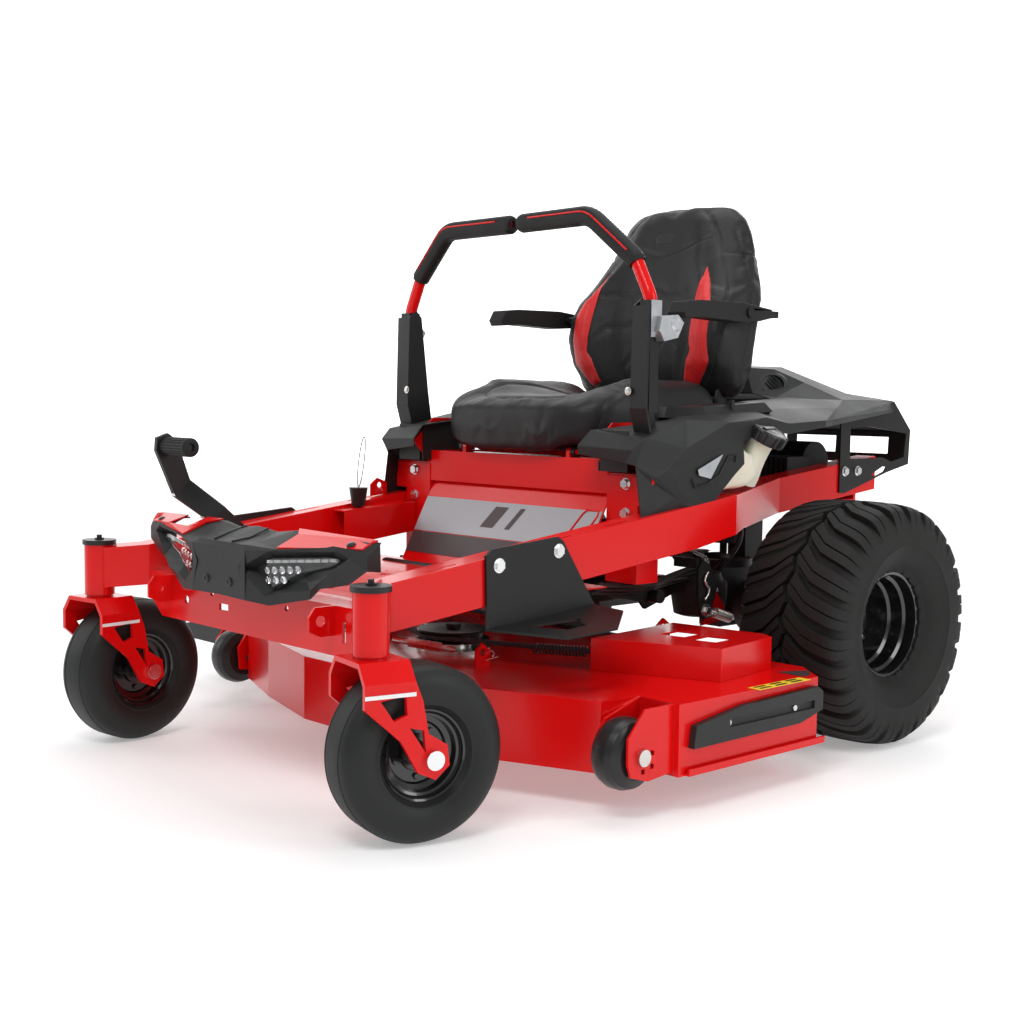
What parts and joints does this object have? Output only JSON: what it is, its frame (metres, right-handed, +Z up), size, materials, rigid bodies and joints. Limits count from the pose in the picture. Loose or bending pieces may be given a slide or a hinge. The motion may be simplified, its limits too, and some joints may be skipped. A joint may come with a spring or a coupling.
{
  "type": "zero turn mower",
  "caption": "Ride-on zero turn mower with lap bars, high-back seat, front casters, rear drive tyres, side-discharge deck and rear engine.",
  "frame": {"origin": "on the ground below the middle of the machine's box", "axes": "+Y to the rear of the machine, +X to the operator's left, +Z up"},
  "size_m": [1.522, 1.8057, 1.112],
  "materials": {
    "red_paint": "gloss red powder coat",
    "black_paint": "satin black powder coat",
    "gloss_black_rim": "gloss black wheel paint",
    "black_plastic": "fine grained black moulding",
    "clear_lens": "clear lamp lens",
    "tank_plastic": "translucent cream moulding",
    "tyre_rubber": "black tyre rubber",
    "hard_rubber": "moulded black rubber",
    "seat_leather": "black grained vinyl",
    "zinc_steel": "bright zinc plate",
    "cast_metal": "dark cast metal",
    "belt_rubber": "woven covered belt"
  },
  "bodies": {
    "chassis": {"left_rail": "red_paint", "right_rail": "red_paint", "front_crossmember": "red_paint", "foot_pan": "red_paint", "seat_support": "red_paint", "riser_panel": "red_paint", "engine_plate": "red_paint", "step_plates": "black_paint", "headlight_panel": "black_plastic", "headlight_lenses": "clear_lens", "panel_top_plates": "red_paint", "rear_guard": "black_paint", "control_pods": "black_plastic", "fenders": "black_plastic", "fuel_tank": "tank_plastic", "engine_hood": "black_plastic", "engine": "cast_metal", "transaxles": "cast_metal", "caster_caps": "black_plastic", "frame_bolts": "zinc_steel"},
    "fuel_cap": {"fuel_cap": "black_plastic"},
    "height_pin": {"height_pin": "zinc_steel"},
    "left_rear_wheel": {"left_rear_tyre": "tyre_rubber", "left_rear_rim": "gloss_black_rim"},
    "right_rear_wheel": {"right_rear_tyre": "tyre_rubber", "right_rear_rim": "gloss_black_rim"},
    "left_caster": {"left_caster_fork": "red_paint", "left_caster_axle": "zinc_steel"},
    "right_caster": {"right_caster_fork": "red_paint", "right_caster_axle": "zinc_steel"},
    "left_caster_wheel": {"left_caster_tyre": "tyre_rubber", "left_caster_rim": "gloss_black_rim"},
    "right_caster_wheel": {"right_caster_tyre": "tyre_rubber", "right_caster_rim": "gloss_black_rim"},
    "seat": {"seat_pan": "black_paint", "seat_cushion": "seat_leather", "seat_backrest": "seat_leather"},
    "left_armrest": {"left_armrest": "hard_rubber"},
    "right_armrest": {"right_armrest": "hard_rubber"},
    "left_lever": {"left_lever_bracket": "black_paint"},
    "right_lever": {"right_lever_bracket": "black_paint"},
    "left_lap_bar": {"left_lap_bar": "red_paint", "left_lap_bar_grip": "hard_rubber", "left_lap_bar_clamp": "black_paint"},
    "right_lap_bar": {"right_lap_bar": "red_paint", "right_lap_bar_grip": "hard_rubber", "right_lap_bar_clamp": "black_paint"},
    "deck": {"deck_shell": "red_paint", "deck_hardware": "zinc_steel", "deck_bumper": "black_plastic", "belt_covers": "red_paint", "deck_belt": "belt_rubber"},
    "left_anti_scalp": {"left_anti_scalp_wheel": "black_plastic"},
    "right_anti_scalp": {"right_anti_scalp_wheel": "black_plastic"},
    "left_blade": {"left_blade_spindle": "black_paint"},
    "centre_blade": {"centre_blade_spindle": "black_paint"},
    "right_blade": {"right_blade_spindle": "black_paint"},
    "chute": {"discharge_chute": "black_plastic"},
    "pedal": {"lift_pedal": "black_paint", "pedal_peg": "hard_rubber"}
  },
  "joints": [
    {"name": "left_caster_swivel", "type": "hinge", "parent": "chassis", "child": "left_caster", "pos_m": [0.548, -0.834, 0.34], "axis": [0, 0, 1], "continuous": true},
    {"name": "right_caster_swivel", "type": "hinge", "parent": "chassis", "child": "right_caster", "pos_m": [-0.322, -0.834, 0.34], "axis": [0, 0, 1], "continuous": true},
    {"name": "left_caster_spin", "type": "hinge", "parent": "left_caster", "child": "left_caster_wheel", "pos_m": [0.56339, -0.76162, 0.1397], "axis": [0.9781, -0.2079, 0], "continuous": true},
    {"name": "right_caster_spin", "type": "hinge", "parent": "right_caster", "child": "right_caster_wheel", "pos_m": [-0.33179, -0.76065, 0.1397], "axis": [0.9912, 0.1323, 0], "continuous": true},
    {"name": "left_wheel_spin", "type": "hinge", "parent": "chassis", "child": "left_rear_wheel", "pos_m": [0.604, 0.353, 0.243], "axis": [1, 0, 0], "continuous": true},
    {"name": "right_wheel_spin", "type": "hinge", "parent": "chassis", "child": "right_rear_wheel", "pos_m": [-0.378, 0.353, 0.243], "axis": [1, 0, 0], "continuous": true},
    {"name": "left_lever_pivot", "type": "hinge", "parent": "chassis", "child": "left_lever", "pos_m": [0.463, -0.099, 0.575], "axis": [1, 0, 0], "range_deg": [-17, 17]},
    {"name": "right_lever_pivot", "type": "hinge", "parent": "chassis", "child": "right_lever", "pos_m": [-0.237, -0.099, 0.575], "axis": [1, 0, 0], "range_deg": [-17, 17]},
    {"name": "left_lap_bar_swing", "type": "hinge", "parent": "left_lever", "child": "left_lap_bar", "pos_m": [0.463, -0.129, 0.668], "axis": [0, 1, 0], "range_deg": [0, 25]},
    {"name": "right_lap_bar_swing", "type": "hinge", "parent": "right_lever", "child": "right_lap_bar", "pos_m": [-0.237, -0.129, 0.668], "axis": [0, -1, 0], "range_deg": [0, 25]},
    {"name": "seat_tilt", "type": "hinge", "parent": "chassis", "child": "seat", "pos_m": [0.113, -0.132, 0.581], "axis": [1, 0, 0], "range_deg": [0, 30]},
    {"name": "left_armrest_fold", "type": "hinge", "parent": "seat", "child": "left_armrest", "pos_m": [0.379, 0.251, 0.866], "axis": [-1, 0, 0], "range_deg": [0, 85]},
    {"name": "right_armrest_fold", "type": "hinge", "parent": "seat", "child": "right_armrest", "pos_m": [-0.153, 0.251, 0.866], "axis": [-1, 0, 0], "range_deg": [0, 85]},
    {"name": "fuel_cap_turn", "type": "hinge", "parent": "chassis", "child": "fuel_cap", "pos_m": [0.50714, 0.16475, 0.60841], "axis": [0.499, 0.1198, 0.8583], "range_deg": [0, 270]},
    {"name": "height_pin_lift", "type": "slide", "parent": "chassis", "child": "height_pin", "axis": [0, 0, 1], "range_m": [0, 0.045]},
    {"name": "deck_lift", "type": "slide", "parent": "chassis", "child": "deck", "axis": [0, 0, 1], "range_m": [-0.02, 0.05]},
    {"name": "pedal_push", "type": "hinge", "parent": "chassis", "child": "pedal", "pos_m": [-0.087, -0.674, 0.42], "axis": [1, 0, 0], "range_deg": [-7.2, 18]},
    {"name": "left_anti_scalp_spin", "type": "hinge", "parent": "deck", "child": "left_anti_scalp", "pos_m": [0.697, -0.429, 0.108], "axis": [1, 0, 0], "continuous": true},
    {"name": "right_anti_scalp_spin", "type": "hinge", "parent": "deck", "child": "right_anti_scalp", "pos_m": [-0.471, -0.429, 0.108], "axis": [1, 0, 0], "continuous": true},
    {"name": "left_blade_spin", "type": "hinge", "parent": "deck", "child": "left_blade", "pos_m": [0.513, -0.129, 0.2], "axis": [0, 0, 1], "continuous": true},
    {"name": "centre_blade_spin", "type": "hinge", "parent": "deck", "child": "centre_blade", "pos_m": [0.113, -0.299, 0.2], "axis": [0, 0, 1], "continuous": true},
    {"name": "right_blade_spin", "type": "hinge", "parent": "deck", "child": "right_blade", "pos_m": [-0.287, -0.129, 0.2], "axis": [0, 0, 1], "continuous": true},
    {"name": "chute_fold", "type": "hinge", "parent": "deck", "child": "chute", "pos_m": [-0.531, -0.249, 0.18], "axis": [0, 1, 0], "range_deg": [0, 80]}
  ],
  "couplings": [
    {"joint": "centre_blade_spin", "follows": "left_blade_spin", "ratio": 1},
    {"joint": "right_blade_spin", "follows": "left_blade_spin", "ratio": 1},
    {"joint": "pedal_push", "follows": "deck_lift", "rad_per_m": 6.2832}
  ]
}
